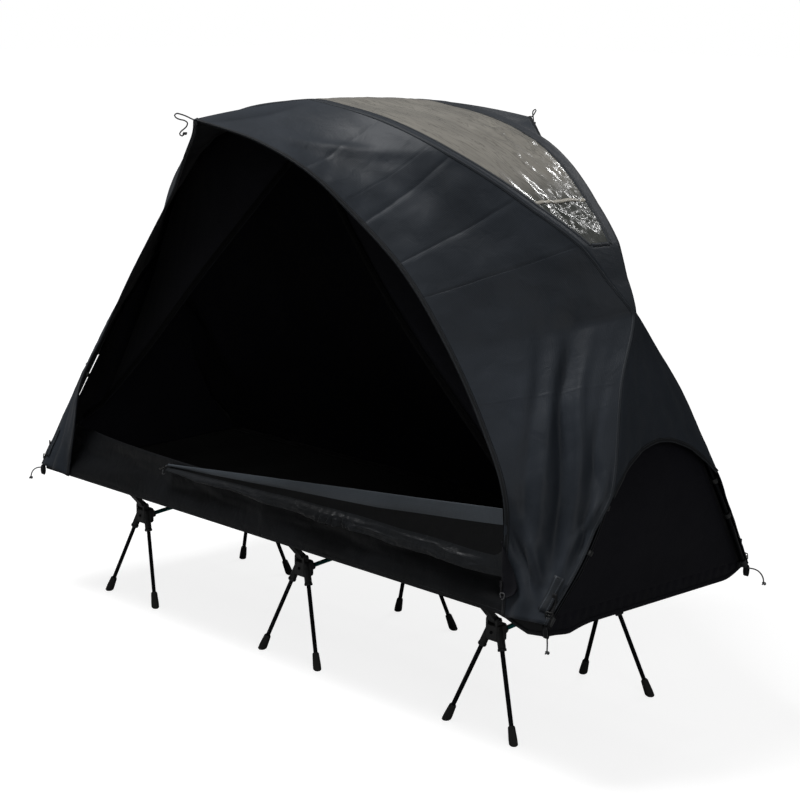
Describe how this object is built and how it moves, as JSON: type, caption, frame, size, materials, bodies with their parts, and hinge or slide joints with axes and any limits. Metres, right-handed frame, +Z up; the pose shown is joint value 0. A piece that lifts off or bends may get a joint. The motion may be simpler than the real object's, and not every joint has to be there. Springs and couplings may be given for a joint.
{
  "type": "tent cot",
  "caption": "Camp bed on splayed legs with a dark pole-hung tent over it: open arched door in front, clear roof window, arched cut-out at each end.",
  "frame": {"origin": "on the floor under the middle of the bed", "axes": "+X along the bed to the right-hand end, -Y out of the open door, +Z up"},
  "size_m": [1.996, 1.1952, 1.4289],
  "materials": {
    "bed_cloth": "plain woven polyester, matt",
    "side_rail": "black anodised tube",
    "fly_cloth": "coated ripstop polyester, slight sheen",
    "inner_cloth": "matt woven nylon",
    "roof_film": "clear film, glossy and crumpled",
    "tent_pole": "grey anodised tube",
    "slider_metal": "nickel-plated zinc, polished",
    "tip_cord": "braided cord",
    "elastic_cord": "braided elastic cord",
    "black_nylon": "moulded nylon, fine texture",
    "teal_tube": "teal anodised tube",
    "leg_tube": "black anodised tube",
    "rubber": "moulded rubber"
  },
  "bodies": {
    "frame": {"bed_sheet": "bed_cloth", "corner_cord_left_front": "elastic_cord", "corner_cord_right_front": "elastic_cord", "corner_cord_right_rear": "elastic_cord", "corner_cup_left_front": "black_nylon", "corner_cup_left_rear": "black_nylon", "corner_cup_right_front": "black_nylon", "corner_cup_right_rear": "black_nylon", "cross_pole_left": "teal_tube", "cross_pole_middle": "teal_tube", "cross_pole_right": "teal_tube", "fly": "fly_cloth", "front_door_let_down": "fly_cloth", "hub_left_front": "black_nylon", "hub_left_rear": "black_nylon", "hub_middle_front": "black_nylon", "hub_middle_rear": "black_nylon", "hub_right_front": "black_nylon", "hub_right_rear": "black_nylon", "inner_tent": "inner_cloth", "rail_front": "side_rail", "rail_rear": "side_rail", "ridge_pole": "tent_pole", "roof_window": "roof_film", "tent_pole_front": "tent_pole", "tent_pole_rear": "tent_pole", "tip_cord_front": "tip_cord", "tip_cord_rear": "tip_cord"},
    "lever_left_front": {"lever_left_front": "black_nylon"},
    "lever_left_rear": {"lever_left_rear": "black_nylon"},
    "lever_middle_front": {"lever_middle_front": "black_nylon"},
    "lever_middle_rear": {"lever_middle_rear": "black_nylon"},
    "lever_right_front": {"lever_right_front": "black_nylon"},
    "lever_right_rear": {"lever_right_rear": "black_nylon"},
    "leg_left_front_leaning_left": {"leg_left_front_leaning_left": "leg_tube", "foot_left_front_leaning_left": "rubber"},
    "leg_left_front_leaning_right": {"leg_left_front_leaning_right": "leg_tube", "foot_left_front_leaning_right": "rubber"},
    "leg_left_rear_leaning_left": {"leg_left_rear_leaning_left": "leg_tube", "foot_left_rear_leaning_left": "rubber"},
    "leg_left_rear_leaning_right": {"leg_left_rear_leaning_right": "leg_tube", "foot_left_rear_leaning_right": "rubber"},
    "leg_middle_front_leaning_left": {"leg_middle_front_leaning_left": "leg_tube", "foot_middle_front_leaning_left": "rubber"},
    "leg_middle_front_leaning_right": {"leg_middle_front_leaning_right": "leg_tube", "foot_middle_front_leaning_right": "rubber"},
    "leg_middle_rear_leaning_left": {"leg_middle_rear_leaning_left": "leg_tube", "foot_middle_rear_leaning_left": "rubber"},
    "leg_middle_rear_leaning_right": {"leg_middle_rear_leaning_right": "leg_tube", "foot_middle_rear_leaning_right": "rubber"},
    "leg_right_front_leaning_left": {"leg_right_front_leaning_left": "leg_tube", "foot_right_front_leaning_left": "rubber"},
    "leg_right_front_leaning_right": {"leg_right_front_leaning_right": "leg_tube", "foot_right_front_leaning_right": "rubber"},
    "leg_right_rear_leaning_left": {"leg_right_rear_leaning_left": "leg_tube", "foot_right_rear_leaning_left": "rubber"},
    "leg_right_rear_leaning_right": {"leg_right_rear_leaning_right": "leg_tube", "foot_right_rear_leaning_right": "rubber"},
    "zip_slider_front": {"zip_slider_front": "slider_metal"},
    "zip_slider_rear": {"zip_slider_rear": "slider_metal"}
  },
  "joints": [
    {"name": "lever_left_front_hinge", "type": "hinge", "parent": "frame", "child": "lever_left_front", "pos_m": [-0.697, -0.204, 0.2672], "axis": [1, 0, 0], "range_deg": [0, 45]},
    {"name": "lever_left_rear_hinge", "type": "hinge", "parent": "frame", "child": "lever_left_rear", "pos_m": [-0.697, 0.204, 0.2672], "axis": [-1, 0, 0], "range_deg": [0, 45]},
    {"name": "lever_middle_front_hinge", "type": "hinge", "parent": "frame", "child": "lever_middle_front", "pos_m": [-0.016, -0.204, 0.2672], "axis": [1, 0, 0], "range_deg": [0, 45]},
    {"name": "lever_middle_rear_hinge", "type": "hinge", "parent": "frame", "child": "lever_middle_rear", "pos_m": [-0.016, 0.204, 0.2672], "axis": [-1, 0, 0], "range_deg": [0, 45]},
    {"name": "lever_right_front_hinge", "type": "hinge", "parent": "frame", "child": "lever_right_front", "pos_m": [0.665, -0.204, 0.2672], "axis": [1, 0, 0], "range_deg": [0, 45]},
    {"name": "lever_right_rear_hinge", "type": "hinge", "parent": "frame", "child": "lever_right_rear", "pos_m": [0.665, 0.204, 0.2672], "axis": [-1, 0, 0], "range_deg": [0, 45]},
    {"name": "leg_left_front_leaning_left_pull", "type": "slide", "parent": "frame", "child": "leg_left_front_leaning_left", "axis": [-0.3563, -0.1675, -0.9192], "range_m": [0, 0.05]},
    {"name": "leg_left_front_leaning_right_pull", "type": "slide", "parent": "frame", "child": "leg_left_front_leaning_right", "axis": [0.3563, -0.1675, -0.9192], "range_m": [0, 0.05]},
    {"name": "leg_left_rear_leaning_left_pull", "type": "slide", "parent": "frame", "child": "leg_left_rear_leaning_left", "axis": [-0.3563, 0.1675, -0.9192], "range_m": [0, 0.05]},
    {"name": "leg_left_rear_leaning_right_pull", "type": "slide", "parent": "frame", "child": "leg_left_rear_leaning_right", "axis": [0.3563, 0.1675, -0.9192], "range_m": [0, 0.05]},
    {"name": "leg_middle_front_leaning_left_pull", "type": "slide", "parent": "frame", "child": "leg_middle_front_leaning_left", "axis": [-0.3563, -0.1675, -0.9192], "range_m": [0, 0.05]},
    {"name": "leg_middle_front_leaning_right_pull", "type": "slide", "parent": "frame", "child": "leg_middle_front_leaning_right", "axis": [0.3563, -0.1675, -0.9192], "range_m": [0, 0.05]},
    {"name": "leg_middle_rear_leaning_left_pull", "type": "slide", "parent": "frame", "child": "leg_middle_rear_leaning_left", "axis": [-0.3563, 0.1675, -0.9192], "range_m": [0, 0.05]},
    {"name": "leg_middle_rear_leaning_right_pull", "type": "slide", "parent": "frame", "child": "leg_middle_rear_leaning_right", "axis": [0.3563, 0.1675, -0.9192], "range_m": [0, 0.05]},
    {"name": "leg_right_front_leaning_left_pull", "type": "slide", "parent": "frame", "child": "leg_right_front_leaning_left", "axis": [-0.3563, -0.1675, -0.9192], "range_m": [0, 0.05]},
    {"name": "leg_right_front_leaning_right_pull", "type": "slide", "parent": "frame", "child": "leg_right_front_leaning_right", "axis": [0.3563, -0.1675, -0.9192], "range_m": [0, 0.05]},
    {"name": "leg_right_rear_leaning_left_pull", "type": "slide", "parent": "frame", "child": "leg_right_rear_leaning_left", "axis": [-0.3563, 0.1675, -0.9192], "range_m": [0, 0.05]},
    {"name": "leg_right_rear_leaning_right_pull", "type": "slide", "parent": "frame", "child": "leg_right_rear_leaning_right", "axis": [0.3563, 0.1675, -0.9192], "range_m": [0, 0.05]},
    {"name": "zip_slider_front_run", "type": "slide", "parent": "frame", "child": "zip_slider_front", "axis": [-0.0845, 0.083, 0.993], "range_m": [0, 0.12]},
    {"name": "zip_slider_rear_run", "type": "slide", "parent": "frame", "child": "zip_slider_rear", "axis": [0.0845, -0.083, 0.993], "range_m": [0, 0.12]}
  ]
}
